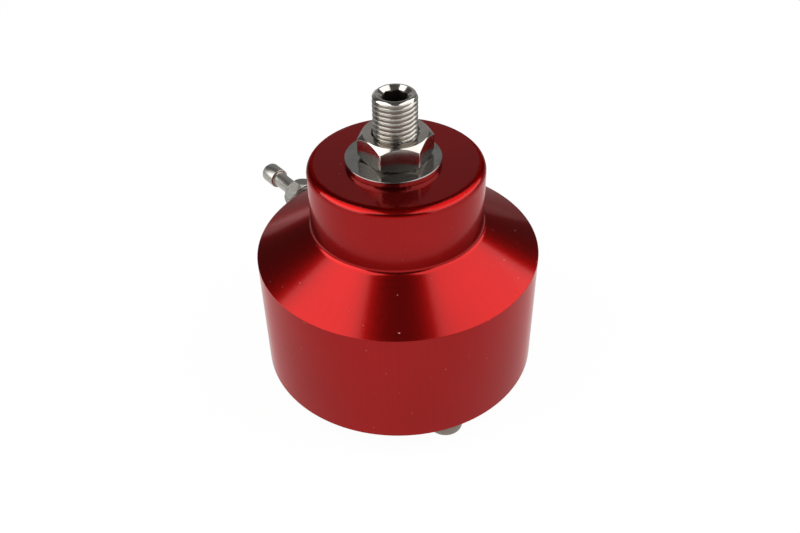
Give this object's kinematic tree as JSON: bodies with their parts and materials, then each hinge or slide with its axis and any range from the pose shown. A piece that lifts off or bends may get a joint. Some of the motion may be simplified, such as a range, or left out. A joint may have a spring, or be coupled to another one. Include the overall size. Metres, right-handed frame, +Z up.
{
  "type": "fuel pressure regulator",
  "caption": "Adjustable rail-mount fuel pressure regulator: red turned bonnet with a skirt, cone and tower, top adjusting screw with jam nut, side vacuum nipple, diaphragm valve inside.",
  "frame": {"origin": "centre of the round boss face that bolts to the fuel rail, which is the lowest face", "axes": "+Z up the body's axis towards the adjusting screw; -Y towards the picture's camera; the vacuum nipple points 128.5 degrees round from +X towards +Y"},
  "size_m": [0.0676, 0.076, 0.0738],
  "materials": {
    "red_anodised": "turned aluminium, anodised deep red, satin",
    "bright_steel": "bright stainless, fine machining",
    "washer_steel": "stamped zinc-plated steel",
    "nickel_plate": "nickel-plated brass, bright",
    "cap_screw_steel": "plain stainless cap screws",
    "plated_steel": "zinc-plated steel",
    "stainless": "turned stainless",
    "spring_steel": "oil-tempered spring wire",
    "ball_steel": "polished bearing ball",
    "seal_rubber": "matt fluorocarbon rubber",
    "coated_fabric": "rubber-coated fabric"
  },
  "bodies": {
    "housing": {"bonnet": "red_anodised", "base_body": "red_anodised", "base_screws": "cap_screw_steel", "diaphragm": "coated_fabric", "valve_seat": "stainless", "seat_o_ring": "seal_rubber", "main_spring": "spring_steel", "screw_seal": "seal_rubber", "vacuum_nipple": "nickel_plate", "inlet_o_ring": "seal_rubber", "return_o_ring": "seal_rubber"},
    "valve": {"upper_plate": "plated_steel", "lower_plate": "plated_steel", "valve_stem": "stainless", "stem_nut": "plated_steel", "valve_ball": "ball_steel", "ball_retainer": "stainless"},
    "spring_carrier": {"spring_seat": "plated_steel", "pivot_ball": "ball_steel"},
    "adjuster": {"adjusting_screw": "bright_steel"},
    "lock_washer_carrier": {"washer": "washer_steel"},
    "lock": {"jam_nut": "bright_steel"}
  },
  "joints": [
    {"name": "valve_lift", "type": "slide", "parent": "housing", "child": "valve", "axis": [0, 0, 1], "range_m": [0, 0.0006], "stiffness_N_per_m": 500, "springref_m": -0.01, "deforming": ["main_spring", "diaphragm"]},
    {"name": "spring_seat_travel", "type": "slide", "parent": "housing", "child": "spring_carrier", "axis": [0, 0, 1], "range_m": [-0.00529, 0.00212], "deforming": ["main_spring"]},
    {"name": "adjuster_turn", "type": "hinge", "parent": "spring_carrier", "child": "adjuster", "pos_m": [0, 0, 0.06], "axis": [0, 0, 1], "range_deg": [-1800, 720]},
    {"name": "nut_turn", "type": "hinge", "parent": "housing", "child": "lock_washer_carrier", "pos_m": [0, 0, 0.0576], "axis": [0, 0, 1], "range_deg": [0, 720]},
    {"name": "nut_climb", "type": "slide", "parent": "lock_washer_carrier", "child": "lock", "axis": [0, 0, 1], "range_m": [0, 0.0022]}
  ],
  "couplings": [
    {"joint": "adjuster_turn", "follows": "spring_seat_travel", "rad_per_m": 5936.9},
    {"joint": "nut_climb", "follows": "nut_turn", "m_per_rad": 0.00016844}
  ]
}
